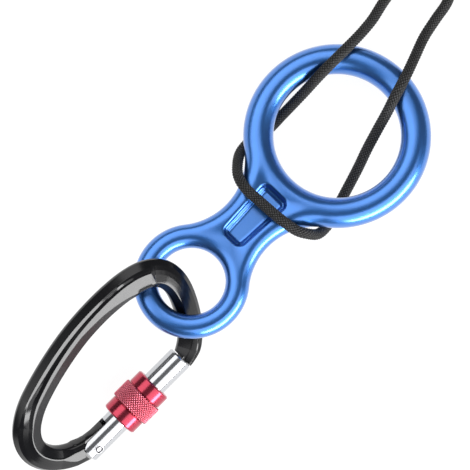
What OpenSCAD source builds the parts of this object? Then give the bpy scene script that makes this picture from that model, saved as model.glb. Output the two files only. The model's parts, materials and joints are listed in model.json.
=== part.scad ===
// Figure-eight descender with a screw-lock carabiner and a rigged cord.
// Millimetres, +Z up. The assembly lies on a flat surface at z = 0, its length along X.

/* [Figure eight] */
// Inside diameter of the big ring
big_bore = 52; // [48:0.5:56]
// Bar diameter of the big ring
big_bar = 12.4; // [11.5:0.1:13]
// Inside diameter of the small ring
small_bore = 27.5; // [27:0.5:29]
// Bar diameter of the small ring
small_bar = 9.8; // [9.4:0.1:10.2]
// Distance between the ring centres
ring_spacing = 84.5; // [84:0.5:86]
// Radius of the concave sides of the neck
waist_r = 27.4; // [26:0.2:29]
// Diameter of the rounded rails along the neck
rail_bar = 10; // [9.4:0.1:10.4]
// Thickness of the neck between its rails
web_thick = 9; // [8.4:0.1:9.2]
// Thickness left under the neck's pockets
pocket_floor = 4; // [3:0.5:5]
// Tilt of the figure eight along its length, its far rim on the ground
eight_pitch = 6.8; // [6.6:0.1:7]
// Tilt of the figure eight across its width
eight_roll = -8.5; // [-8.7:0.1:-8.3]

/* [Carabiner] */
// Length from the gate's rivet to the nose face
nose_x = 50.3; // [50.2:0.1:50.6]
// Thickness of the gate-end tongue and of its slot's filling
tongue_w = 4.6; // [4:0.1:4.6]
// Roll of the carabiner about its length, spine up
carabiner_roll = 34.8; // [34.6:0.1:35]

/* [Gate] */
// Outside diameter of the gate tube
gate_d = 10.6; // [10.4:0.1:10.8]
// Distance from the rivet to the gate's tip
gate_reach = 49.9; // [49.8:0.1:49.9]
// Distance from the rivet to the gate's hinge end
gate_tail = 4.7; // [4.5:0.1:4.7]
// Bore of the spring chamber
chamber_d = 6; // [5.8:0.1:6.2]
// Diameter of the hinge rivet
rivet_d = 3.2; // [3:0.1:3.4]
// Working gap between moving pieces
play = 0.1; // [0.05:0.01:0.1]

/* [Locking sleeve] */
// Length of the sleeve
sleeve_len = 20.5; // [18:0.5:21]
// Diameter of the smooth collars
collar_d = 16; // [15.6:0.1:16.4]
// Diameter of the knurled band
knurl_d = 18.1; // [17.6:0.1:18.2]
// Length of the knurled band
knurl_len = 8.3; // [7:0.1:10]
// Distance from the rivet to the sleeve's rear edge when unlocked
sleeve_x = 14; // [13:0.5:15]

/* [Cord] */
// Diameter of the cord
cord_d = 4.5; // [4:0.1:4.6]

/* [Hidden] */
$fn = 64;

// Figure eight: the big ring's centre is its own origin, the small ring lies along -X.
big_r = big_bore / 2 + big_bar / 2;
small_r = small_bore / 2 + small_bar / 2;
big_outer = big_bore / 2 + big_bar;
small_outer = small_bore / 2 + small_bar;
reach_big = big_outer + waist_r;
reach_small = small_outer + waist_r;
waist_x = (reach_big ^ 2 - reach_small ^ 2 + ring_spacing ^ 2) / (2 * ring_spacing);
waist_y = sqrt(reach_big ^ 2 - waist_x ^ 2);
rail_inset = 0.15;
rail_r = waist_r + rail_inset + rail_bar / 2;
rail_from = atan2(waist_y, waist_x);
rail_to = atan2(waist_y, ring_spacing - waist_x);
pocket_x = [-35.5, -61.5];
pocket_half_w = [6.2, 4.8];
pocket_corner = 2.5;
web_ends = [-ring_spacing + small_r - 2, 6 - big_r];
web_in_big = 1.2;
web_in_small = 0.9;

// Where the pieces lie.
assembly_len = 222.8;
big_x = assembly_len / 2 - big_outer;
big_z = big_bar / 2 + big_r * sqrt(1 - (cos(eight_roll) * cos(eight_pitch)) ^ 2);
rivet_to_ring = 159.3;
rivet_x = big_x - rivet_to_ring;
gate_y = -18.9;
ground_gap = 0.02;
gate_z = knurl_d / 2 + ground_gap;

// Carabiner: the rivet is its own origin, +X to the nose, +Y to the spine.
tail_round = 5.9;
shoulder_r = tail_round + 2 * play;
slot_play = 0.2;
slot_w = tongue_w + 2 * slot_play;
slot_end = 9.8;
slot_floor = -3;
tail_gap = 0.25;
tongue_outline = [
    [7.9, 0.7], [7.9, 4.9], [3, 5.1], [-2, 6], [-6, 8.2], [-10, 9],
    [-12, 4], [-10, -1], [-6, -2.8], [0, -2.9], [2.5, -2]
];

// The nose's key, and the room for it in the gate's tip.
nose_key = 3.4;
key_w = 4.4;
key_root = 1;
key_low = -4.6;
key_top = 0.8;
key_end_gap = 0.8;
key_top_gap = 0.1;

// Blocks that cut right through the bar and the gate.
cut = 20;
cut_depth = 12;
frame_sides = 16;
frame_steps = 3;
// The frame's centre line from nose to hinge: [x, y, half width, half thickness].
frame_line = [
    [46, -1.5, 4.2, 4.1], [50.5, -0.9, 4.3, 4.2], [55, 1, 5, 4.5], [59.5, 4.5, 5.4, 4.6],
    [64.5, 12, 5.4, 4.6], [69, 22, 5.4, 4.6], [70.6, 30.5, 5.5, 4.6], [68.8, 37.5, 5.8, 4.6],
    [63, 42.3, 5.9, 4.7], [54, 44.7, 5.8, 4.7], [42, 45.5, 5.6, 4.6], [28.5, 44.6, 5.6, 4.6],
    [15.5, 42.1, 5.6, 4.6], [2, 38.1, 5.6, 4.7], [-8.5, 33.6, 5.7, 4.7],
    [-16.2, 27, 5.8, 4.8], [-19.2, 18.4, 5.8, 4.8], [-16.8, 10, 5.8, 4.8],
    [-10.8, 4.2, 5.7, 4.7], [-3, 1.2, 5.3, 4.6], [4, 0, 5, 4.6]
];

// Spring and plunger inside the gate, measured along the gate from the rivet.
plunger_x = 8.05;
plunger_head = 4.5;
plunger_stem_d = 2.8;
plunger_len = 10;
spring_from = plunger_x + plunger_head + play / 2;
spring_to = 33.4;
spring_r = 2.3;
spring_wire = 0.7;
spring_turns = 9;
steps_per_turn = 9;
wire_sides = 6;
chamber_from = 5.8;
chamber_end = 33.5;

// Locking sleeve and its ring.
sleeve_bore = gate_d + 2 * play;
o_ring_r = 6.28;
o_ring_wire = 1.84;
groove_r = 7.25;
groove_w = 2;
edge = 0.5;

// Cord: its route from the knot, over the rim, round the neck and back to the knot.
// Points are measured from the big ring's centre in X and Y, and from the ground in Z.
cord_sides = 10;
cord_steps = 2;
knot_at = [83, 15, 7];
knot_ball = 13.5;
knot_half = [4, 3.5];
cord_route = [
    [78, 18.5, 5], [72, 23.8, 3], [64.5, 26.6, 2.4], [54, 25.6, 2.6], [45, 23.6, 4.7],
    [39, 22.9, 7.5], [33.5, 22.6, 11.2], [28, 22.5, 14.5], [22, 22.5, 15.7], [16, 22.5, 14.9],
    [10, 22.4, 12.4], [4.5, 22.2, 7.6], [-1.5, 22.1, 3.4], [-9, 22, 2.4], [-18, 21.9, 2.4],
    [-26, 23.6, 3.3], [-32.6, 23.2, 8.1], [-37.4, 20.2, 14.7], [-40.5, 16.4, 19.7],
    [-41.8, 10.9, 23.2], [-41.4, 1.5, 24.9], [-40.6, -8.5, 26.2], [-39.4, -15.2, 25.2],
    [-37.2, -19.4, 22.6], [-34.4, -22.6, 17], [-30.6, -23.3, 12], [-25.5, -22.6, 8.8],
    [-20.5, -20.9, 6.2], [-4, -15.9, 2.5], [5, -12.7, 4.2], [13.5, -10, 8.4], [21, -7.7, 14],
    [27, -5.6, 17.5], [32.5, -3.9, 18.3], [38, -2.2, 16.3], [45, 0.2, 11.9], [54, 3.3, 6.3],
    [63, 5.2, 3.2], [72, 7, 2.7], [80, 12, 5]
];

// A point on the smooth curve through four points in a row.
function between(a, b, c, d, t) =
    0.5 * (2 * b + (c - a) * t + (2 * a - 5 * b + 4 * c - d) * t ^ 2
           + (3 * b - a - 3 * c + d) * t ^ 3);

// The curve through a list of points, with its ends carried straight on.
function smooth(p, steps) =
    let (n = len(p),
         q = concat([2 * p[0] - p[1]], p, [2 * p[n - 1] - p[n - 2]]))
    concat([for (i = [0 : n - 2], s = [0 : steps - 1])
                between(q[i], q[i + 1], q[i + 2], q[i + 3], s / steps)],
           [p[n - 1]]);

function unit(v) = v / norm(v);
function direction(p, i) = unit(p[min(i + 1, len(p) - 1)] - p[max(i - 1, 0)]);

// One side of a full, slightly square oval.
function swell(c) = sign(c) * abs(c) ^ 0.8;

// Closed skin over equal rings of points.
module skin(rings) {
    n = len(rings[0]);
    last = len(rings) - 1;
    walls = [for (i = [0 : last - 1], j = [0 : n - 1])
        let (a = i * n + j, b = i * n + (j + 1) % n)
        each [[a, b, b + n], [a, b + n, a + n]]];
    caps = [[for (j = [n - 1 : -1 : 0]) j], [for (j = [0 : n - 1]) last * n + j]];
    polyhedron(points = [for (r = rings) each r], faces = concat(walls, caps), convexity = 8);
}

// Round bar along a path that never runs straight up.
module bar_along(path, d, sides) {
    skin([for (i = [0 : len(path) - 1])
        let (t = direction(path, i),
             side = unit(cross([0, 0, 1], t)),
             up = cross(t, side))
        [for (j = [0 : sides - 1])
            let (a = -360 * j / sides)
            path[i] + d / 2 * (cos(a) * side + sin(a) * up)]]);
}

module ring(r, bar) {
    rotate_extrude()
        translate([r, 0])
            circle(d = bar);
}

module along_x(from) {
    translate([from, 0, 0])
        rotate([0, 90, 0])
            children();
}

module place_eight() {
    translate([big_x, 0, big_z])
        rotate([eight_roll, eight_pitch, 0])
            children();
}

module place_carabiner() {
    translate([rivet_x, gate_y, gate_z])
        rotate([carabiner_roll, 0, 0])
            children();
}

// Rounded rail along one side of the neck.
module neck_rail(side) {
    mirror([0, side < 0 ? 1 : 0, 0])
        translate([-waist_x, waist_y, 0])
            rotate([0, 0, -180 + rail_to])
                rotate_extrude(angle = 180 - rail_from - rail_to)
                    translate([rail_r, 0])
                        circle(d = rail_bar);
}

// Flat web between the rails, ending inside the rings' bars.
module neck_web() {
    linear_extrude(web_thick, center = true)
        difference() {
            translate([web_ends[0], -waist_y / 2])
                square([web_ends[1] - web_ends[0], waist_y]);
            for (side = [-1, 1])
                translate([-waist_x, side * waist_y])
                    circle(r = rail_r);
            circle(r = big_r - web_in_big);
            translate([-ring_spacing, 0])
                circle(r = small_r + web_in_small);
        }
}

module pocket() {
    translate([0, 0, pocket_floor / 2])
        linear_extrude(big_bar)
            hull()
                for (end = [0, 1], side = [-1, 1])
                    translate([pocket_x[end] + (end == 0 ? -1 : 1) * pocket_corner,
                               side * (pocket_half_w[end] - pocket_corner)])
                        circle(r = pocket_corner, $fn = 24);
}

module figure_eight() {
    color("royalblue")
        place_eight()
            difference() {
                union() {
                    ring(big_r, big_bar);
                    translate([-ring_spacing, 0, 0])
                        ring(small_r, small_bar);
                    neck_rail(1);
                    neck_rail(-1);
                    neck_web();
                }
                pocket();
                mirror([0, 0, 1])
                    pocket();
            }
}

// The bent bar from nose to hinge, before its ends are cut.
module frame_bar() {
    line = smooth(frame_line, frame_steps);
    skin([for (i = [0 : len(line) - 1])
        let (p = line[i],
             q = direction([for (l = line) [l[0], l[1], 0]], i))
        [for (j = [0 : frame_sides - 1])
            let (a = -360 * (j + 0.5) / frame_sides,
                 w = p[2] * swell(cos(a)),
                 h = p[3] * swell(sin(a)))
            [p[0] - q[1] * w, p[1] + q[0] * w, h]]]);
}

// Flat tongue that the gate turns on.
module frame_tongue() {
    difference() {
        linear_extrude(tongue_w, center = true)
            polygon(tongue_outline);
        cylinder(d = rivet_d + play, h = 2 * gate_d, center = true);
    }
}

module carabiner_frame() {
    color([0.05, 0.05, 0.06])
        place_carabiner() {
            difference() {
                frame_bar();
                translate([nose_x - cut, -cut_depth, -cut / 2])
                    cube(cut);
                cylinder(r = shoulder_r, h = cut, center = true);
                translate([-gate_tail - tail_gap, -cut_depth, -cut / 2])
                    cube([cut, cut_depth, cut]);
                translate([0, -cut_depth, -cut / 2])
                    cube([cut, 2 * cut_depth, cut]);
            }
            frame_tongue();
            translate([nose_x - nose_key, key_low, -key_w / 2])
                cube([nose_key + key_root, key_top - key_low, key_w]);
        }
}

module gate_tube() {
    color("silver")
        place_carabiner()
            difference() {
                along_x(-gate_tail)
                    cylinder(d = gate_d, h = gate_tail + gate_reach);
                // Rounded inner corner at the hinge end
                difference() {
                    translate([-cut / 2, 0, -cut / 2])
                        cube([cut / 2, cut / 2, cut]);
                    cylinder(r = tail_round, h = 2 * cut, center = true);
                }
                // Slot for the frame's tongue
                translate([-cut / 2, slot_floor, -slot_w / 2])
                    cube([cut / 2 + slot_end, cut_depth, slot_w]);
                // Spring chamber
                along_x(chamber_from)
                    cylinder(d = chamber_d, h = chamber_end - chamber_from);
                // Slot for the nose's key, open to the outside
                translate([nose_x - nose_key - key_end_gap, -cut / 2, -key_w / 2 - slot_play])
                    cube([cut / 2, cut / 2 + key_top + key_top_gap, key_w + 2 * slot_play]);
                cylinder(d = rivet_d, h = 2 * gate_d, center = true);
            }
}

module hinge_rivet() {
    color("lightgrey")
        place_carabiner()
            intersection() {
                cylinder(d = rivet_d, h = 2 * gate_d, center = true);
                along_x(-gate_tail)
                    cylinder(d = gate_d + 2 * play, h = 2 * gate_tail);
            }
}

module gate_spring() {
    steps = spring_turns * steps_per_turn;
    run = spring_to - spring_from - spring_wire;
    color("dimgrey")
        place_carabiner()
            skin([for (i = [0 : steps])
                let (a = 360 * i / steps_per_turn,
                     x = spring_from + spring_wire / 2 + run * i / steps)
                [for (j = [0 : wire_sides - 1])
                    let (b = 360 * j / wire_sides,
                         r = spring_r + spring_wire / 2 * cos(b))
                    [x + spring_wire / 2 * sin(b), r * cos(a), r * sin(a)]]]);
}

module spring_plunger() {
    color("dimgrey")
        place_carabiner() {
            along_x(plunger_x)
                cylinder(d = chamber_d - 2 * play, h = plunger_head);
            along_x(plunger_x)
                cylinder(d = plunger_stem_d, h = plunger_len);
        }
}

module locking_sleeve() {
    r = collar_d / 2;
    k = knurl_d / 2;
    b = sleeve_bore / 2;
    k0 = (sleeve_len - knurl_len) / 2;
    k1 = k0 + knurl_len;
    mid = sleeve_len / 2;
    color("crimson")
        place_carabiner()
            along_x(sleeve_x)
                rotate_extrude()
                    polygon([[b, 0], [r - edge, 0], [r, edge], [r, k0], [k - edge / 2, k0],
                             [k, k0 + edge / 2], [k, k1 - edge / 2], [k - edge / 2, k1],
                             [r, k1], [r, sleeve_len - edge], [r - edge, sleeve_len],
                             [b, sleeve_len], [b, mid + groove_w / 2],
                             [groove_r, mid + groove_w / 2], [groove_r, mid - groove_w / 2],
                             [b, mid - groove_w / 2]]);
}

module sleeve_o_ring() {
    color("black")
        place_carabiner()
            along_x(sleeve_x + sleeve_len / 2)
                ring(o_ring_r, o_ring_wire);
}

module rope() {
    color([0.1, 0.1, 0.1])
        translate([big_x, 0, 0])
            bar_along(smooth(cord_route, cord_steps), cord_d, cord_sides);
}

module rope_knot() {
    color([0.1, 0.1, 0.1])
        translate([big_x, 0, 0] + knot_at)
            hull()
                for (end = [-1, 1], side = [-1, 1])
                    translate([end * knot_half[0], side * knot_half[1], 0])
                        sphere(d = knot_ball, $fn = 20);
}

figure_eight();
carabiner_frame();
gate_tube();
hinge_rivet();
gate_spring();
spring_plunger();
locking_sleeve();
sleeve_o_ring();
rope();
rope_knot();
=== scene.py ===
"""Figure-eight descender, screw-lock carabiner and rigged cord: the looks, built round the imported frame."""

import json
import math

import bmesh
import bpy
import numpy as np
from mathutils import Matrix, Vector


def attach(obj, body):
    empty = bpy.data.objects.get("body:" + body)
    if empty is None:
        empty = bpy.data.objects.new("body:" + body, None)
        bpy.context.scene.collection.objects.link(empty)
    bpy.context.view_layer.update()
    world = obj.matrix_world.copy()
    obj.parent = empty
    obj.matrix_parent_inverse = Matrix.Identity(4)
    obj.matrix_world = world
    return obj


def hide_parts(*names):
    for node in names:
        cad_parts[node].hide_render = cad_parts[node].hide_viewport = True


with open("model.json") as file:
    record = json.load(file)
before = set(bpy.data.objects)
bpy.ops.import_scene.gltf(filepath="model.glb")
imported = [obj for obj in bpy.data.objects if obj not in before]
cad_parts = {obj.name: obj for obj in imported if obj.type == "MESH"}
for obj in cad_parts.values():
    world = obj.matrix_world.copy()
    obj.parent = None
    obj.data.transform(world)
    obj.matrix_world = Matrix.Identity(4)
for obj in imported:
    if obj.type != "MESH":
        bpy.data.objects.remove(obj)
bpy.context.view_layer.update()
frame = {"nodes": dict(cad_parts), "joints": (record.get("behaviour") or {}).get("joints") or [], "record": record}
scene = bpy.context.scene
record = frame["record"]
MM = 0.001


# ---------------------------------------------------------------- frames of the pieces

def joint(name):
    return next(j for j in frame["joints"] if j["name"] == name)


def mount(name):
    return next(m for m in record["mounts"] if m["name"] == name)


def placing(origin, x_axis, z_axis):
    """Matrix that takes a piece's own millimetres to the row frame's metres."""
    x = Vector(x_axis).normalized()
    z = Vector(z_axis).normalized()
    y = z.cross(x)
    rotation = Matrix((x, y, z)).transposed().to_4x4()
    return Matrix.Translation(Vector(origin)) @ rotation @ Matrix.Scale(MM, 4)


BIG_EYE = Vector(mount("big_ring_eye")["pos_m"])
SMALL_EYE = Vector(mount("small_ring_eye")["pos_m"])
RIVET = Vector(joint("gate_hinge")["pos_m"])
EIGHT_FRAME = placing(BIG_EYE, BIG_EYE - SMALL_EYE, mount("big_ring_eye")["axis"])
GATE_FRAME = placing(RIVET, (1, 0, 0), joint("gate_hinge")["axis"])

# Driving sizes, in millimetres, the same as the frame's but for the web, which is 0.2 thinner.
BIG_R, BIG_BAR = 32.2, 12.4
SMALL_R, SMALL_BAR = 18.65, 9.8
RING_SPACING = 84.5
WAIST_R = 27.4
RAIL_BAR = 10
WEB_THICK = 8.8
TAIL_ROUND = 5.9
POCKET_FLOOR = 4
POCKET_X = (-35.5, -61.5)
POCKET_HALF_W = (6.2, 4.8)
NOSE_X = 50.3
TONGUE_W = 4.6
SHOULDER_R = 6.1
TAIL_GAP = 0.25
KEY_LEN, KEY_ROOT = 3.4, 1
KEY_LOW, KEY_TOP = -4.6, 0.8
KEY_HALF = 2.2
SLOT_FLOOR, SLOT_END, SLOT_HALF = -3, 9.8, 2.5
CHAMBER_R = 3
CHAMBER_FROM, CHAMBER_END = 5.8, 33.5
TIP_FROM, TIP_TOP, TIP_HALF = 46.1, 0.9, 2.4
CUT = 20
CUT_DEPTH = 12
GATE_D = 10.6
GATE_REACH, GATE_TAIL = 49.9, 4.7
RIVET_D = 3.2
SLEEVE_X, SLEEVE_LEN = 14, 20.5
COLLAR_D, KNURL_D, KNURL_LEN = 16, 18.1, 8.3
CORD_D = 4.5


# ---------------------------------------------------------------- camera

def add_camera():
    """Straight down on the set, turned so that its length runs up to the right."""
    data = bpy.data.cameras.new("camera")
    camera = bpy.data.objects.new("camera", data)
    scene.collection.objects.link(camera)
    view_width = 0.194
    distance = 1.2
    from_big_eye = 0.0582
    off_centre = 0.0008
    data.sensor_width = 36
    data.lens = data.sensor_width * distance / view_width
    camera.location = (BIG_EYE.x - from_big_eye, off_centre, distance)
    camera.rotation_euler = (0, 0, math.radians(-45))
    scene.camera = camera


# ---------------------------------------------------------------- mesh helpers

def add_mesh(name, points, faces, matrix=None, material=None):
    """Mesh object from points and faces, shaded smooth."""
    points = np.asarray(points, float)
    if matrix is not None:
        m = np.array(matrix)
        points = points @ m[:3, :3].T + m[:3, 3]
    mesh = bpy.data.meshes.new(name)
    mesh.from_pydata(points.tolist(), [], [list(map(int, face)) for face in faces])
    mesh.polygons.foreach_set("use_smooth", [True] * len(mesh.polygons))
    mesh.update()
    obj = bpy.data.objects.new(name, mesh)
    scene.collection.objects.link(obj)
    if material is not None:
        mesh.materials.append(material)
    return obj


def slope(field, p, h=0.02):
    """Gradient of a field at points, by central differences."""
    out = np.empty_like(p)
    for axis in range(3):
        step = np.zeros(3)
        step[axis] = h
        out[:, axis] = (field(p + step) - field(p - step)) / (2 * h)
    return out


def skin_of(field, low, high, cell):
    """Closed mesh of four-sided faces where a field is zero, its points pulled onto the surface."""
    low = np.array(low, float)
    count = np.ceil((np.array(high, float) - low) / cell).astype(int) + 1
    axes = [low[i] + cell * np.arange(count[i]) for i in range(3)]
    grid = np.stack(np.meshgrid(*axes, indexing="ij"), -1).reshape(-1, 3)
    value = field(grid).reshape(count)
    value[value == 0] = 1e-9
    total = np.zeros((*(count - 1), 3))
    hits = np.zeros(count - 1)
    crossed = []
    for axis in range(3):
        a = np.take(value, range(0, count[axis] - 1), axis)
        b = np.take(value, range(1, count[axis]), axis)
        cross = (a < 0) != (b < 0)
        t = np.where(cross, a / np.where(cross, a - b, 1), 0)
        crossed.append((cross, a < 0))
        u, v = [k for k in range(3) if k != axis]
        for du in (0, 1):
            for dv in (0, 1):
                cut = [slice(None)] * 3
                cut[u] = slice(du, count[u] - 1 + du)
                cut[v] = slice(dv, count[v] - 1 + dv)
                c = cross[tuple(cut)]
                hits += c
                total[..., axis] += t[tuple(cut)]
                total[..., u] += c * du
                total[..., v] += c * dv
    used = hits > 0
    number = np.full(count - 1, -1)
    number[used] = np.arange(used.sum())
    points = low + cell * (np.argwhere(used) + total[used] / hits[used][:, None])
    faces = []
    for axis, (cross, from_inside) in enumerate(crossed):
        u, v = (axis + 1) % 3, (axis + 2) % 3
        at = np.argwhere(cross)
        at = at[(at[:, u] > 0) & (at[:, v] > 0) & (at[:, u] < count[u] - 1) & (at[:, v] < count[v] - 1)]
        corners = []
        for du, dv in ((-1, -1), (0, -1), (0, 0), (-1, 0)):
            q = at.copy()
            q[:, u] += du
            q[:, v] += dv
            corners.append(number[tuple(q.T)])
        quad = np.stack(corners, 1)
        outward = from_inside[tuple(at.T)]
        quad[~outward] = quad[~outward][:, ::-1]
        faces.append(quad)
    for _ in range(3):
        g = slope(field, points)
        move = g * (field(points) / np.maximum((g * g).sum(1), 0.05))[:, None]
        length = np.linalg.norm(move, axis=1, keepdims=True)
        points = points - move * np.minimum(1, 0.4 * cell / np.maximum(length, 1e-9))
    return points, np.concatenate(faces)


def soft_max(a, b, k):
    """The larger of two fields, with the edge between them rounded by about k."""
    h = np.maximum(k - np.abs(a - b), 0) / k
    return np.maximum(a, b) + h * h * k / 4


def soft_min(a, b, k):
    return -soft_max(-a, -b, k)


def smooth_step(x, start, end):
    t = np.clip((x - start) / (end - start), 0, 1)
    return t * t * (3 - 2 * t)


def smooth_line(points, steps):
    """The curve through a list of points, the same one that the frame's cord follows."""
    p = np.array(points, float)
    q = np.vstack([2 * p[0] - p[1], p, 2 * p[-1] - p[-2]])
    out = []
    for a, b, c, d in zip(q, q[1:], q[2:], q[3:]):
        for t in np.arange(steps) / steps:
            out.append(0.5 * (2 * b + (c - a) * t + (2 * a - 5 * b + 4 * c - d) * t ** 2
                              + (3 * b - a - 3 * c + d) * t ** 3))
    return np.array(out + [p[-1]])


def eased(line, reach):
    """The line averaged over its neighbours, with its ends carried on through themselves."""
    window = np.hanning(2 * reach + 3)[1:-1]
    window = window / window.sum()
    padded = [np.pad(column, reach, mode="reflect", reflect_type="odd") for column in line.T]
    return np.stack([np.convolve(column, window, "valid") for column in padded], 1)


def grid_faces(rows, columns, closed_rows=False):
    """Four-sided faces over rows of points, each row a closed ring."""
    i = np.arange(rows if closed_rows else rows - 1)[:, None]
    j = np.arange(columns)[None, :]
    a = i * columns + j
    b = i * columns + (j + 1) % columns
    c = (i + 1) % rows * columns + (j + 1) % columns
    d = (i + 1) % rows * columns + j
    return np.stack([a, b, c, d], -1).reshape(-1, 4)


# ---------------------------------------------------------------- material helpers

class Nodes:
    """A material's node tree with short ways to add and join nodes."""

    def __init__(self, name):
        self.material = bpy.data.materials.new(name)
        self.material.use_nodes = True
        self.tree = self.material.node_tree
        self.shader = self.tree.nodes["Principled BSDF"]

    def set(self, **values):
        for key, value in values.items():
            self.shader.inputs[key.replace("_", " ")].default_value = value

    def add(self, kind, **values):
        node = self.tree.nodes.new(kind)
        for key, value in values.items():
            if key in node.inputs:
                node.inputs[key].default_value = value
            else:
                setattr(node, key, value)
        return node

    def join(self, out, to):
        self.tree.links.new(out, to)

    def place(self, scale=(1, 1, 1)):
        """The piece's own coordinates, scaled."""
        where = self.add("ShaderNodeTexCoord")
        mapping = self.add("ShaderNodeMapping")
        mapping.inputs["Scale"].default_value = scale
        self.join(where.outputs["Object"], mapping.inputs["Vector"])
        return mapping.outputs["Vector"]

    def noise(self, vector, scale, detail=3.0, rough=0.5):
        node = self.add("ShaderNodeTexNoise", Scale=scale, Detail=detail, Roughness=rough)
        self.join(vector, node.inputs["Vector"])
        return node.outputs["Fac"]

    def ramp(self, factor, stops):
        node = self.add("ShaderNodeValToRGB")
        elements = node.color_ramp.elements
        while len(elements) < len(stops):
            elements.new(0.5)
        for element, (position, colour) in zip(elements, stops):
            element.position = position
            element.color = (*colour, 1)
        self.join(factor, node.inputs["Fac"])
        return node.outputs["Color"]

    def colour(self, factor, stops):
        self.join(self.ramp(factor, stops), self.shader.inputs["Base Color"])

    def gloss(self, factor, low, high):
        self.join(self.span(factor, low, high), self.shader.inputs["Roughness"])

    def span(self, factor, low, high):
        node = self.add("ShaderNodeMapRange")
        node.inputs["To Min"].default_value = low
        node.inputs["To Max"].default_value = high
        self.join(factor, node.inputs["Value"])
        return node.outputs["Result"]

    def bump(self, height, strength, distance):
        node = self.add("ShaderNodeBump", Strength=strength, Distance=distance)
        self.join(height, node.inputs["Height"])
        self.join(node.outputs["Normal"], self.shader.inputs["Normal"])


def blue_anodised():
    m = Nodes("blue_anodised")
    m.set(Metallic=1.0, Coat_Weight=1.0, Coat_Roughness=0.2, Coat_IOR=1.6)
    place = m.place()
    drift = m.noise(place, 60, 2)
    m.colour(drift, [(0.3, (0.038, 0.2, 0.64)), (0.7, (0.052, 0.235, 0.71))])
    grain = m.noise(place, 3200, 2, 0.6)
    m.gloss(m.noise(place, 500, 3), 0.27, 0.35)
    m.bump(grain, 0.12, 0.00006)
    return m.material


def black_metal(name, low, high):
    """Black hard coat over the forging, its roughness between two values."""
    m = Nodes(name)
    m.set(Metallic=0.0, IOR=1.48)
    place = m.place()
    drift = m.noise(place, 90, 3)
    m.colour(drift, [(0.3, (0.002, 0.002, 0.003)), (0.7, (0.004, 0.004, 0.005))])
    m.gloss(m.noise(place, 260, 3), low, high)
    m.bump(m.noise(place, 1500, 2), 0.05, 0.00004)
    return m.material


def polished_alloy():
    m = Nodes("polished_alloy")
    m.set(Metallic=1.0)
    streaks = m.noise(m.place((8, 700, 700)), 4, 4, 0.6)
    m.colour(streaks, [(0.25, (0.54, 0.55, 0.57)), (0.75, (0.64, 0.65, 0.67))])
    m.gloss(streaks, 0.1, 0.22)
    m.bump(streaks, 0.08, 0.00004)
    return m.material


def red_anodised(name, dark, light, rough):
    m = Nodes(name)
    m.set(Metallic=1.0, Coat_Weight=0.3, Coat_Roughness=0.12, Coat_IOR=1.5)
    marks = m.noise(m.place((1500, 30, 30)), 3, 3)
    m.colour(marks, [(0.3, dark), (0.7, light)])
    m.gloss(marks, rough, rough + 0.1)
    m.bump(marks, 0.06, 0.00003)
    return m.material


def plain_metal(name, colour, low, high, fine):
    """Turned or drawn metal: fine streaks in colour, gloss and height."""
    m = Nodes(name)
    m.set(Metallic=1.0)
    marks = m.noise(m.place((fine, 40, 40)), 4, 3)
    dark = tuple(0.75 * c for c in colour)
    m.colour(marks, [(0.3, dark), (0.7, colour)])
    m.gloss(marks, low, high)
    m.bump(marks, 0.1, 0.00004)
    return m.material


def black_rubber():
    m = Nodes("o_ring_rubber")
    place = m.place()
    m.colour(m.noise(place, 400), [(0.3, (0.01, 0.01, 0.01)), (0.7, (0.025, 0.025, 0.025))])
    m.gloss(m.noise(place, 900), 0.5, 0.7)
    m.bump(m.noise(place, 3000), 0.2, 0.00005)
    return m.material


def braid_yarn(name, dark, light):
    """Braided nylon: dark yarns with fine fibres and a faint sheen. Made twice: a near-black copy for painted
    shade in the braid's valleys, and a lighter copy, the yarn's black lifted as a painted glint, for the crowns.
    """
    m = Nodes(name)
    m.set(Sheen_Weight=0.06, Sheen_Roughness=0.4, Specular_IOR_Level=0.3)
    place = m.place()
    yarn = m.noise(place, 1600, 3)
    m.colour(yarn, [(0.3, (dark, dark, dark)), (0.75, (light, light, light))])
    m.gloss(yarn, 0.5, 0.75)
    m.bump(m.noise(place, 5200, 2), 0.35, 0.00008)
    return m.material


# ---------------------------------------------------------------- cord

# The cord's route in millimetres from the big ring's centre, and from the ground in Z.
CORD_ROUTE = [
    (78, 18.5, 5), (72, 23.8, 3), (64.5, 26.6, 2.4), (54, 25.6, 2.6), (45, 23.6, 4.7),
    (39, 22.9, 7.5), (33.5, 22.6, 11.2), (28, 22.5, 14.5), (22, 22.5, 15.7), (16, 22.5, 14.9),
    (10, 22.4, 12.4), (4.5, 22.2, 7.6), (-1.5, 22.1, 3.4), (-9, 22, 2.4), (-18, 21.9, 2.4),
    (-26, 23.6, 3.3), (-32.6, 23.2, 8.1), (-37.4, 20.2, 14.7), (-40.5, 16.4, 19.7),
    (-41.8, 10.9, 23.2), (-41.4, 1.5, 24.9), (-40.6, -8.5, 26.2), (-39.4, -15.2, 25.2),
    (-37.2, -19.4, 22.6), (-34.4, -22.6, 17), (-30.6, -23.3, 12), (-25.5, -22.6, 8.8),
    (-20.5, -20.9, 6.2), (-4, -15.9, 2.5), (5, -12.7, 4.2), (13.5, -10, 8.4), (21, -7.7, 14),
    (27, -5.6, 17.5), (32.5, -3.9, 18.3), (38, -2.2, 16.3), (45, 0.2, 11.9), (54, 3.3, 6.3),
    (63, 5.2, 3.2), (72, 7, 2.7), (80, 12, 5)
]
KNOT_AT = (83, 15, 7)


def even_line(points, step):
    """Points a fixed step apart along a line."""
    points = np.asarray(points, float)
    run = np.concatenate([[0], np.cumsum(np.linalg.norm(np.diff(points, axis=0), axis=1))])
    count = max(int(run[-1] / step), 2)
    at = np.linspace(0, run[-1], count)
    return np.stack([np.interp(at, run, points[:, k]) for k in range(3)], 1), run[-1]


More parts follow.
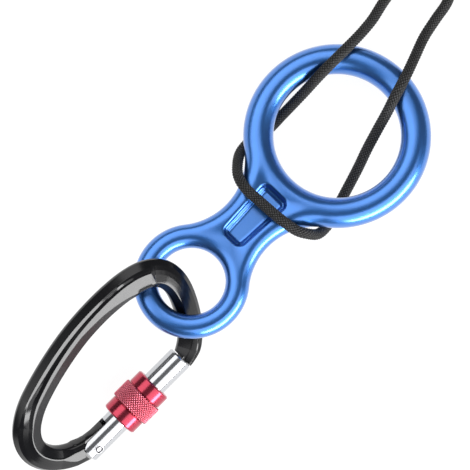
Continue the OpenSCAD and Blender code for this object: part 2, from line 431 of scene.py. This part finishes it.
def braided_tube(path, diameter, sides=80, step=0.2):
    """Tube with a braid's relief: a bump wherever two spirals of yarns cross. They aren't woven. It also marks the
    crowns, which take the painted glint, while the valleys take painted shade.
    """
    line, length = even_line(path, step)
    line = eased(line, 6)
    tangent = np.gradient(line, axis=0)
    tangent /= np.linalg.norm(tangent, axis=1, keepdims=True)
    side = np.zeros_like(line)
    side[0] = np.cross((0, 0, 1), tangent[0])
    for i in range(1, len(line)):
        side[i] = side[i - 1] - tangent[i] * np.dot(side[i - 1], tangent[i])
        side[i] /= np.linalg.norm(side[i])
    side[0] /= np.linalg.norm(side[0])
    up = np.cross(tangent, side)
    angle = 2 * math.pi * np.arange(sides) / sides
    along = np.linspace(0, length, len(line))[:, None]
    yarns = 10
    lay = 3.1 * diameter
    proud = 0.05
    depth = 0.45
    crown_from = 0.66
    one = yarns * angle / (2 * math.pi) + yarns * along / lay
    two = yarns * angle / (2 * math.pi) - yarns * along / lay
    relief = np.sqrt(np.abs(np.cos(math.pi * one) * np.cos(math.pi * two)))
    radius = diameter / 2 + proud - depth * (1 - relief)
    points = (line[:, None] + radius[..., None] * (np.cos(angle)[None, :, None] * side[:, None]
                                                   + np.sin(angle)[None, :, None] * up[:, None]))
    # Points on the yarn crowns: their faces get the lighter yarn colour as a painted glint, the rest get the
    # near-black colour as painted shade.
    glint_crown = relief.reshape(-1) > crown_from
    return points.reshape(-1, 3), grid_faces(len(line), sides), glint_crown, line


def dress(obj, faces, choice, materials):
    """Gives every face the material whose number its first point carries."""
    for material in materials:
        obj.data.materials.append(material)
    obj.data.polygons.foreach_set("material_index", choice[faces[:, 0]].astype(int).tolist())


def add_cord(materials):
    """The free cord. Its two open ends run into the knot past the big ring."""
    route = smooth_line(CORD_ROUTE, 8) + [BIG_EYE.x / MM, 0, 0]
    points, faces, glint_crown, line = braided_tube(route, CORD_D)
    cord = add_mesh("cord", points, faces, Matrix.Scale(MM, 4))
    # Crown faces get the painted glint colour, valley faces the painted shade colour.
    dress(cord, faces, glint_crown, materials)
    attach(cord, "figure_eight")
    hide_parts("rope")
    knot = add_knot(materials)


def add_knot(materials):
    """Stands for the overhand knot: two closed loops in its shape, with no tails."""
    turn = np.linspace(0, 2 * math.pi, 160)
    parts = []
    offset = 0
    for strand in (-1, 1):
        reach = 1 + 0.16 * strand
        x = 2.9 * reach * (np.sin(turn) + 1.45 * np.sin(2 * turn)) / 1.15
        y = 2.9 * reach * (np.cos(turn) - 1.45 * np.cos(2 * turn)) / 1.15
        z = 2.5 * np.sin(3 * turn) + 1.3 * strand
        loop = np.stack([x, y, z], 1) + np.array(KNOT_AT)
        points, faces, glint_crown, _ = braided_tube(loop, 0.86 * CORD_D)
        parts.append((points, faces + offset, glint_crown))
        offset += len(points)
    points, faces, glint_crown = (np.concatenate(part) for part in zip(*parts))
    knot = add_mesh("cord_knot", points + [BIG_EYE.x / MM, 0, 0], faces, Matrix.Scale(MM, 4))
    # Crown faces get the painted glint colour, valley faces the painted shade colour.
    dress(knot, faces, glint_crown, materials)
    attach(knot, "figure_eight")
    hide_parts("rope_knot")
    return knot


# ---------------------------------------------------------------- figure eight

def eight_height(x, y):
    """How far inside the outer edge, and how far outside the two holes, a place lies from above."""
    y = np.abs(y)
    big_out, small_out = BIG_R + BIG_BAR / 2, SMALL_R + SMALL_BAR / 2
    far_big, far_small = big_out + WAIST_R, small_out + WAIST_R
    waist_x = -(far_big ** 2 - far_small ** 2 + RING_SPACING ** 2) / (2 * RING_SPACING)
    waist_y = math.sqrt(far_big ** 2 - waist_x ** 2)
    from_big = np.hypot(x, y)
    from_small = np.hypot(x + RING_SPACING, y)
    from_waist = np.hypot(x - waist_x, y - waist_y)
    neck_big = math.atan2(waist_y, -waist_x)
    neck_small = math.atan2(waist_y, RING_SPACING + waist_x)
    in_big_sector = np.arctan2(y, -x) < neck_big
    in_small_sector = np.arctan2(y, x + RING_SPACING) < neck_small
    in_neck = in_big_sector & in_small_sector & (x < 0) & (x > -RING_SPACING)
    outside = np.maximum(big_out - from_big, small_out - from_small)
    edge = np.where(in_neck, from_waist - WAIST_R, outside)
    holes = np.minimum(from_big - (BIG_R - BIG_BAR / 2), from_small - (SMALL_R - SMALL_BAR / 2))
    return edge, holes


def eight_field(p):
    """The forging: round at every edge, a shallow web across the neck, and a pocket on each face."""
    x, y, z = p[:, 0], p[:, 1], np.abs(p[:, 2])
    edge, holes = eight_height(x, y)
    inward = soft_min(edge, holes, 4)
    half = BIG_BAR / 2 + (RAIL_BAR - BIG_BAR) / 2 * smooth_step(-x, 30, 44)
    half = half + (SMALL_BAR - RAIL_BAR) / 2 * smooth_step(-x, 58, 66)
    round_edge = np.hypot(np.maximum(half - inward, 0), z) - half
    dip = (half - WEB_THICK / 2) * smooth_step(inward - half, 0, 7.5)
    body = round_edge + dip
    run = POCKET_X[0] - POCKET_X[1]
    middle = (POCKET_X[0] + POCKET_X[1]) / 2
    corner = 2.5
    taper = np.clip((POCKET_X[0] - x) / run, 0, 1)
    half_w = POCKET_HALF_W[0] + (POCKET_HALF_W[1] - POCKET_HALF_W[0]) * taper
    qx = np.abs(x - middle) - run / 2 + corner
    qy = np.abs(y) - half_w + corner
    wall = np.hypot(np.maximum(qx, 0), np.maximum(qy, 0)) + np.minimum(np.maximum(qx, qy), 0) - corner
    floor = POCKET_FLOOR / 2
    draft = 0.45 * (z - floor)
    step = 0.75 * smooth_step(z, floor + 1.1, floor + 1.35)
    cut = soft_max(wall + 1.5 - draft - step, floor - z, 0.5)
    return soft_max(body, -cut, 0.7)


def add_figure_eight(material):
    high = BIG_BAR / 2 + 0.8
    reach = BIG_R + BIG_BAR / 2 + 1
    left = RING_SPACING + SMALL_R + SMALL_BAR / 2 + 1
    points, faces = skin_of(eight_field, (-left, -reach, -high), (reach, reach, high), 0.55)
    eight = add_mesh("descender", points, faces, EIGHT_FRAME, material)
    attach(eight, "figure_eight")
    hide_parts("figure_eight")


# ---------------------------------------------------------------- carabiner frame

# Centre line from nose to hinge: x, y, half width, half thickness.
FRAME_LINE = [
    (46, -1.5, 4.2, 4.1), (50.5, -0.9, 4.3, 4.2), (55, 1, 5, 4.5), (59.5, 4.5, 5.4, 4.6),
    (64.5, 12, 5.4, 4.6), (69, 22, 5.4, 4.6), (70.6, 30.5, 5.5, 4.6), (68.8, 37.5, 5.8, 4.6),
    (63, 42.3, 5.9, 4.7), (54, 44.7, 5.8, 4.7), (42, 45.5, 5.6, 4.6), (28.5, 44.6, 5.6, 4.6),
    (15.5, 42.1, 5.6, 4.6), (2, 38.1, 5.6, 4.7), (-8.5, 33.6, 5.7, 4.7),
    (-16.2, 27, 5.8, 4.8), (-19.2, 18.4, 5.8, 4.8), (-16.8, 10, 5.8, 4.8),
    (-10.8, 4.2, 5.7, 4.7), (-3, 1.2, 5.3, 4.6), (4, 0, 5, 4.6)
]
# Shape of the front face along the line. Each row: the place on the line, the roundness, then the
# points across the bar (1 outside, -1 inside) with their heights: rim, outer corner, ridge end,
# groove, crest, crest end, step, inside.
FRAME_FACE = [
    (0, 2.6, (1, 0), (0.5, 0.93), (0.3, 0.93), (0.2, 0.93),
     (0.1, 0.92), (-0.2, 0.9), (-0.25, 0.87), (-1, 0.6)),
    (1, 2.8, (1, 0), (0.82, 0.8), (0.78, 0.84), (0.5, 0.86),
     (0.42, 0.83), (0, 0.6), (-0.1, 0.54), (-1, 0.05)),
    (2, 2.8, (1, 0), (0.84, 0.74), (0.8, 0.8), (0.5, 0.85),
     (0.4, 0.83), (0, 0.6), (-0.1, 0.54), (-1, 0.05)),
    (3, 2.5, (1, 0), (0.8, 0.5), (0.7, 0.62), (0.4, 0.76),
     (0.3, 0.8), (0, 0.66), (-0.1, 0.6), (-1, 0.1)),
    (4, 2.5, (1, 0), (0.7, 0.36), (0.4, 0.56), (0.1, 0.73),
     (-0.35, 0.95), (-0.42, 0.95), (-0.48, 0.9), (-1, 0.5)),
    (7, 2.5, (1, 0), (0.7, 0.36), (0.4, 0.56), (0.1, 0.72),
     (-0.4, 0.95), (-0.47, 0.95), (-0.53, 0.9), (-1, 0.5)),
    (7.4, 2.6, (1, 0), (0.7, 0.4), (0.4, 0.6), (0.1, 0.76),
     (-0.45, 0.95), (-0.55, 0.95), (-0.68, 0.9), (-1, 0.6)),
    (7.65, 3, (1, 0), (0.7, 0.62), (0.5, 0.78), (0.42, 0.84),
     (0.34, 0.91), (-0.74, 0.91), (-0.8, 0.87), (-1, 0.7)),
    (8.4, 3, (1, 0), (0.72, 0.66), (0.58, 0.76), (0.46, 0.84),
     (0.36, 0.91), (-0.72, 0.91), (-0.78, 0.87), (-1, 0.65)),
    (9, 3.5, (1.02, 0), (0.78, 0.74), (0.7, 0.8), (0.52, 0.8),
     (0.38, 0.91), (-0.5, 0.91), (-0.56, 0.86), (-1, 0.4)),
    (10, 6, (1.04, 0), (0.84, 0.88), (0.62, 0.88), (0.48, 0.74),
     (0.32, 0.89), (-0.2, 0.89), (-0.27, 0.82), (-1.06, 0.2)),
    (11, 8, (1.05, 0), (0.88, 0.88), (0.6, 0.88), (0.44, 0.72),
     (0.28, 0.89), (-0.02, 0.89), (-0.1, 0.8), (-1.1, 0.05)),
    (12.5, 8, (1.05, 0), (0.88, 0.88), (0.62, 0.88), (0.4, 0.7),
     (0.2, 0.89), (-0.04, 0.89), (-0.12, 0.8), (-1.1, 0.05)),
    (13.5, 6, (1.03, 0), (0.86, 0.86), (0.74, 0.86), (0.36, 0.72),
     (0.08, 0.9), (-0.1, 0.9), (-0.18, 0.81), (-1.1, 0.1)),
    (14.5, 3, (0.96, 0), (0.7, 0.5), (0.4, 0.66), (0.05, 0.8),
     (-0.2, 0.92), (-0.26, 0.92), (-0.33, 0.84), (-1.06, 0.25)),
    (17.5, 2.6, (0.93, 0), (0.7, 0.38), (0.4, 0.56), (0.05, 0.75),
     (-0.26, 0.93), (-0.36, 0.93), (-0.44, 0.86), (-1, 0.45)),
    (18.2, 2.8, (1, 0), (0.6, 0.75), (0.45, 0.82), (0.3, 0.87),
     (0.16, 0.92), (-0.56, 0.92), (-0.64, 0.85), (-1, 0.6)),
    (18.8, 2.8, (1, 0), (0.6, 0.75), (0.45, 0.82), (0.3, 0.87),
     (0.2, 0.92), (-0.56, 0.92), (-0.64, 0.85), (-1, 0.6)),
    (20, 2.6, (1, 0), (0.6, 0.7), (0.4, 0.78), (0.2, 0.84),
     (0, 0.88), (-0.2, 0.88), (-0.3, 0.84), (-1, 0.6))
]
BACK_ROUNDNESS = 2.3
EDGE_STEPS = 15
BAND_STATIONS = (8.6, 15.5)
FRAME_TONGUE = [
    (7.9, 0.7), (7.9, 4.9), (3, 5.1), (-2, 6), (-6, 8.2), (-10, 9),
    (-12, 4), (-10, -1), (-6, -2.8), (0, -2.9), (2.5, -2)
]


def solid(name, points, faces, matrix=None):
    """Closed mesh with its faces turned outwards."""
    obj = add_mesh(name, points, faces, matrix)
    work = bmesh.new()
    work.from_mesh(obj.data)
    bmesh.ops.recalc_face_normals(work, faces=work.faces)
    work.to_mesh(obj.data)
    work.free()
    return obj


def prism(name, outline, low, high, bevel=0.0, matrix=None):
    """Outline carried from low to high along its own Z, with bevelled rims."""
    outline = np.array(outline, float)
    middle = outline.mean(0)
    outward = outline - middle
    inset = outline - outward / np.linalg.norm(outward, axis=1, keepdims=True) * bevel
    levels = [(inset, low), (outline, low + bevel), (outline, high - bevel), (inset, high)]
    if bevel == 0:
        levels = [(outline, low), (outline, high)]
    points = np.concatenate([np.column_stack([line, np.full(len(line), z)]) for line, z in levels])
    faces = grid_faces(len(levels), len(outline)).tolist()
    last = (len(levels) - 1) * len(outline)
    faces += [list(range(len(outline))), list(range(last, last + len(outline)))]
    return solid(name, points, faces, matrix)


def circle_outline(radius, sides=96):
    turn = 2 * math.pi * np.arange(sides) / sides
    return np.column_stack([radius * np.cos(turn), radius * np.sin(turn)])


def box_outline(low, high):
    return [(low[0], low[1]), (high[0], low[1]), (high[0], high[1]), (low[0], high[1])]


def drill(obj, outline, low=-CUT / 2, high=CUT / 2):
    """Cuts an outline out of a piece, through the heights given."""
    carve(obj, prism("cut", outline, low, high))


def carve(obj, tool, operation="DIFFERENCE"):
    """Cuts the tool's shape out of a piece, or joins it on, and removes the tool."""
    modifier = obj.modifiers.new("carve", "BOOLEAN")
    modifier.object = tool
    modifier.operation = operation
    modifier.solver = "EXACT"
    bpy.context.view_layer.update()
    ready = obj.evaluated_get(bpy.context.evaluated_depsgraph_get())
    mesh = bpy.data.meshes.new_from_object(ready)
    obj.modifiers.clear()
    obj.data = mesh
    bpy.data.objects.remove(tool)


def oval(across, rim, inside, roundness):
    """Height of a squared oval that reaches from the rim to the inside."""
    reach = np.where(across > 0, rim, -inside)
    return np.maximum(1 - np.abs(across / reach) ** roundness, 0) ** (1 / roundness)


def bar_section(index):
    """The bar's section at a place on the line: across, height, and which points are its inner band."""
    stations = [row[0] for row in FRAME_FACE]
    roundness = np.interp(index, stations, [row[1] for row in FRAME_FACE])
    bends = np.array([row[2:] for row in FRAME_FACE], float)
    across, height = ([np.interp(index, stations, bends[:, k, side]) for k in range(bends.shape[1])]
                      for side in range(2))
    rim, corner, inside = across[0], across[1], across[-1]
    soft = 0.012
    easing = np.sin(np.linspace(0, math.pi / 2, EDGE_STEPS + 1))[::-1]
    places = [corner + (rim - corner) * easing[:-1]]
    for here, following in zip(across[1:-1], across[2:]):
        places.append([here + soft, here, here - soft])
        places.append(here + (following - here) * np.array([0.33, 0.67]))
    last = across[-2]
    places[-1] = last + (inside - last) * easing[-2::-1]
    a = np.concatenate(places)
    face = np.interp(-a, -np.array(across), height)
    sharpness = 70
    round_bar = oval(a, rim, inside, roundness)
    front = -np.log(np.exp(-sharpness * face) + np.exp(-sharpness * round_bar)) / sharpness
    front = np.maximum(np.minimum(front, round_bar), 0)
    back = -oval(a, rim, inside, BACK_ROUNDNESS)
    band = (len(a) - EDGE_STEPS - 1, len(a) - 2)
    return np.concatenate([a, a[-2:0:-1]]), np.concatenate([front, back[-2:0:-1]]), band


def swept_bar(materials):
    """The bent bar as rings of points along the centre line, with the satin band inside the spine."""
    line = eased(smooth_line(FRAME_LINE, 40), 30)
    index = np.linspace(0, len(FRAME_LINE) - 1, len(line))
    tangent = np.gradient(line[:, :2], axis=0)
    tangent /= np.linalg.norm(tangent, axis=1, keepdims=True)
    rings = []
    for (x, y, half_w, half_t), (tx, ty), place in zip(line, tangent, index):
        across, height, band = bar_section(place)
        rings.append(np.column_stack([x + ty * across * half_w, y - tx * across * half_w, height * half_t]))
    count = len(rings[0])
    faces = grid_faces(len(rings), count).tolist()
    last = (len(rings) - 1) * count
    faces += [list(range(count)), list(range(last, last + count))]
    bar = solid("carabiner_body", np.concatenate(rings), faces)
    row, column = np.divmod(np.arange((len(rings) - 1) * count), count)
    in_band = (column >= band[0]) & (column <= band[1])
    in_band &= (index[row] > BAND_STATIONS[0]) & (index[row] < BAND_STATIONS[1])
    for material in materials:
        bar.data.materials.append(material)
    bar.data.polygons.foreach_set("material_index", in_band.astype(int).tolist() + [0, 0])
    return bar


def settle(obj, material=None):
    """Lays a carved piece into place, its faces smooth up to the edges."""
    obj.data.transform(GATE_FRAME)
    obj.data.polygons.foreach_set("use_smooth", [True] * len(obj.data.polygons))
    obj.data.set_sharp_from_angle(angle=math.radians(38))
    if material:
        obj.data.materials.clear()
        obj.data.materials.append(material)


def add_carabiner(materials):
    body = swept_bar(materials)
    drill(body, box_outline((NOSE_X - CUT, -CUT_DEPTH), (NOSE_X, CUT - CUT_DEPTH)))
    drill(body, circle_outline(SHOULDER_R))
    drill(body, box_outline((-GATE_TAIL - TAIL_GAP, -CUT_DEPTH), (16, 0)))
    drill(body, box_outline((0, -CUT_DEPTH), (CUT, CUT_DEPTH)))
    tongue = prism("tongue", FRAME_TONGUE, -TONGUE_W / 2, TONGUE_W / 2, 0.35)
    drill(tongue, circle_outline(RIVET_D / 2 + 0.1))
    carve(body, tongue, "UNION")
    outline = box_outline((NOSE_X - KEY_LEN, KEY_LOW), (NOSE_X + KEY_ROOT, KEY_TOP))
    key = prism("key", outline, -KEY_HALF, KEY_HALF, 0.2)
    carve(body, key, "UNION")
    settle(body)
    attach(body, "carabiner")
    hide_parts("carabiner_frame")


# ---------------------------------------------------------------- gate

def add_gate(material):
    """The gate's tube: bevelled rims, slots for the tongue and the nose, and the spring's bore."""
    to_x = Matrix.Rotation(math.pi / 2, 4, "Y")
    tube = prism("gate_shell", circle_outline(GATE_D / 2), -GATE_TAIL, GATE_REACH, 0.5, to_x)
    arc = np.linspace(math.pi / 2, math.pi, 25)
    corner = [(TAIL_ROUND * math.cos(t), TAIL_ROUND * math.sin(t)) for t in arc]
    drill(tube, corner + [(-CUT_DEPTH, 0), (-CUT_DEPTH, CUT_DEPTH), (0, CUT_DEPTH)])
    drill(tube, box_outline((-CUT_DEPTH, SLOT_FLOOR), (SLOT_END, CUT_DEPTH)), -SLOT_HALF, SLOT_HALF)
    carve(tube, prism("cut", circle_outline(CHAMBER_R, 48), CHAMBER_FROM, CHAMBER_END, matrix=to_x))
    drill(tube, box_outline((TIP_FROM, -CUT_DEPTH), (60, TIP_TOP)), -TIP_HALF, TIP_HALF)
    drill(tube, circle_outline(RIVET_D / 2 + 0.02))
    settle(tube, material)
    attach(tube, "gate")
    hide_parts("gate_tube")


def turned(profile, sides, matrix, name):
    """Lathed piece about Z: profile points are (along, radius). Gives the piece and its faces."""
    profile = np.array(profile, float)
    angle = 2 * math.pi * np.arange(sides) / sides
    ring = np.stack([np.cos(angle), np.sin(angle)], 1)
    across = (profile[:, 1][:, None, None] * ring[None]).reshape(-1, 2)
    points = np.column_stack([across, np.repeat(profile[:, 0], sides)])
    faces = grid_faces(len(profile), sides)
    return add_mesh(name, points, faces, matrix), faces


def add_rivet(materials):
    """Rivet through the gate, with a thin rim, a groove and a low dome at each end. The groove is coloured dark
    steel as painted shade.
    """
    r = RIVET_D / 2
    half = [(4.2, r), (4.6, r), (4.62, r + 0.35), (5.26, r + 0.35), (5.3, r + 0.25), (5.26, r + 0.12),
            (4.8, r + 0.08), (4.8, r - 0.45), (5.2, r - 0.5), (5.3, r - 0.65), (5.36, 0.4), (5.37, 0.001)]
    profile = [(-h, q) for h, q in reversed(half)] + half
    sides = 48
    rivet, faces = turned(profile, sides, GATE_FRAME, "gate_rivet")
    # Faces at the groove get a dark steel colour: painted shade in the groove.
    groove = np.array([abs(h) == 4.8 for h, _ in profile])
    dress(rivet, faces, np.repeat(groove, sides), materials)
    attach(rivet, "gate")
    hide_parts("hinge_rivet")


# ---------------------------------------------------------------- locking sleeve

DIAMONDS, DIAMOND_ROWS = 44, 6
DIAMOND_DEPTH = 0.5
# How far below the rim the diamond tops reach that get the painted highlight colour.
HIGHLIGHT_TOPS_BELOW_RIM = 0.33


def sleeve_radius(x, angle):
    """Outside of the sleeve: two smooth collars and a knurled band of small diamonds."""
    collar = COLLAR_D / 2
    knurl = KNURL_D / 2
    start = (SLEEVE_LEN - KNURL_LEN) / 2
    end = start + KNURL_LEN
    bevel = 0.5
    edge = np.minimum(x, SLEEVE_LEN - x)
    r = collar - np.clip(bevel - edge, 0, bevel)
    in_band = np.minimum(x - start, end - x)
    groove = 0.22 * np.exp(-((in_band + 0.28) / 0.16) ** 2)
    around = DIAMONDS * angle / (2 * math.pi)
    along = DIAMOND_ROWS * (x - start) / KNURL_LEN
    one = around + along
    two = around - along
    ridge = np.abs(np.cos(math.pi * one)) * np.abs(np.cos(math.pi * two))
    chamfer = 0.35
    relief = DIAMOND_DEPTH * ridge ** 0.7
    top = knurl - DIAMOND_DEPTH + relief - np.clip(chamfer - in_band, 0, chamfer)
    return np.where(in_band > 0, top, r - groove)


def add_sleeve(materials):
    sides = 8 * DIAMONDS
    start = (SLEEVE_LEN - KNURL_LEN) / 2
    end = start + KNURL_LEN
    rows = np.concatenate([
        [0.0, 0.12, 0.25, 0.5], np.linspace(0.7, start - 0.7, 10), np.linspace(start - 0.6, start - 0.02, 8),
        np.linspace(start + 0.02, end - 0.02, 8 * DIAMOND_ROWS + 1),
        np.linspace(end + 0.02, end + 0.6, 8), np.linspace(end + 0.7, SLEEVE_LEN - 0.7, 10),
        [SLEEVE_LEN - 0.5, SLEEVE_LEN - 0.25, SLEEVE_LEN - 0.12, SLEEVE_LEN]])
    angle = 2 * math.pi * np.arange(sides) / sides
    x, a = np.meshgrid(rows, angle, indexing="ij")
    outer = sleeve_radius(x, a)
    bore = np.full((1, sides), GATE_D / 2 + 0.1)
    lip = bore + 0.35
    radius = np.vstack([bore, lip, outer, lip, bore])
    along = np.vstack([x[:1] + 0.35, x[:1], x, x[-1:], x[-1:] - 0.35])
    across = np.vstack([a[:1], a[:1], a, a[-1:], a[-1:]])
    points = np.stack([SLEEVE_X + along, radius * np.cos(across), radius * np.sin(across)], -1).reshape(-1, 3)
    faces = grid_faces(len(radius), sides, True)
    # The knurled band's valleys get a darker red as painted shade, and the diamond tops a lighter pink as a
    # painted highlight.
    knurled = radius > COLLAR_D / 2 + 0.1
    highlight_tops = radius > KNURL_D / 2 - HIGHLIGHT_TOPS_BELOW_RIM
    sleeve = add_mesh("screw_sleeve", points, faces, GATE_FRAME)
    dress(sleeve, faces, (knurled * 1 + highlight_tops * 1).reshape(-1), materials)
    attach(sleeve, "sleeve")
    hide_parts("locking_sleeve")


def finish_hidden_pieces():
    """The sealed inner pieces keep their CAD shape and get their own metals and rubber, but the plunger's steel is
    painted far darker than bare steel, as shade.
    """
    looks = {
        "gate_spring": plain_metal("spring_steel", (0.42, 0.42, 0.44), 0.25, 0.4, 900),
        # The plunger's near-black steel is painted shade.
        "spring_plunger": plain_metal("plunger_steel", (0.12, 0.12, 0.125), 0.3, 0.45, 1200),
        "sleeve_o_ring": black_rubber(),
    }
    for name, material in looks.items():
        mesh = frame["nodes"][name].data
        mesh.materials.clear()
        mesh.materials.append(material)


# ---------------------------------------------------------------- light and floor

def add_floor():
    m = Nodes("floor_paper")
    m.set(Roughness=0.9, Emission_Strength=0.93)
    m.shader.inputs["Emission Color"].default_value = (1, 1, 1, 1)
    place = m.place()
    m.colour(m.noise(place, 30), [(0.3, (0.13, 0.13, 0.13)), (0.7, (0.14, 0.14, 0.14))])
    size = 3.0
    floor = add_mesh("floor", [(-size, -size, 0), (size, -size, 0), (size, size, 0), (-size, size, 0)],
                     [(0, 1, 2, 3)], None, m.material)


def add_softbox(name, direction, elevation, distance, width, height, power):
    """Rectangular light that faces the set, its direction and elevation in degrees."""
    data = bpy.data.lights.new(name, "AREA")
    data.shape = "RECTANGLE"
    data.size = width
    data.size_y = height
    data.energy = power
    light = bpy.data.objects.new(name, data)
    scene.collection.objects.link(light)
    d, e = math.radians(direction), math.radians(elevation)
    way = Vector((math.cos(d) * math.cos(e), math.sin(d) * math.cos(e), math.sin(e)))
    light.location = way * distance
    light.rotation_euler = way.to_track_quat("Z", "Y").to_euler()


def add_lights():
    world = bpy.data.worlds.new("studio")
    scene.world = world
    world.use_nodes = True
    background = world.node_tree.nodes["Background"]
    background.inputs["Color"].default_value = (0.95, 0.97, 1.0, 1)
    background.inputs["Strength"].default_value = 0.18
    add_softbox("box_gate_low", -90, 21, 1.0, 1.2, 0.34, 15)
    add_softbox("box_gate_high", -90, 52, 1.0, 1.4, 0.6, 4.4)
    add_softbox("box_spine_high", 90, 50, 1.0, 1.6, 0.9, 7)
    scene.view_settings.view_transform = "Standard"


# ---------------------------------------------------------------- build

add_camera()
# The near-black valleys are painted shade; the lighter crowns are the yarn's black lifted as a painted glint.
add_cord((braid_yarn("sheath_valleys_painted_shade", 0.001, 0.004), braid_yarn("sheath_crowns_painted_glint", 0.03, 0.07)))
add_figure_eight(blue_anodised())
add_carabiner((black_metal("black_gloss", 0.15, 0.22), black_metal("black_satin", 0.42, 0.5)))
add_gate(polished_alloy())
# The dark steel is painted shade in the rivet's groove.
add_rivet((plain_metal("rivet_steel", (0.72, 0.72, 0.74), 0.15, 0.3, 60),
           plain_metal("rivet_groove_painted_shade", (0.16, 0.16, 0.17), 0.3, 0.45, 60)))
# The dark red is painted shade in the knurl's valleys; the light pink is a painted highlight on the diamond tops.
add_sleeve((red_anodised("red_anodised", (0.46, 0.042, 0.075), (0.54, 0.056, 0.1), 0.18),
            red_anodised("red_valleys_painted_shade", (0.22, 0.016, 0.03), (0.26, 0.02, 0.036), 0.3),
            red_anodised("red_knurl_painted_highlight", (0.74, 0.15, 0.21), (0.82, 0.19, 0.26), 0.34)))
finish_hidden_pieces()
add_floor()
add_lights()
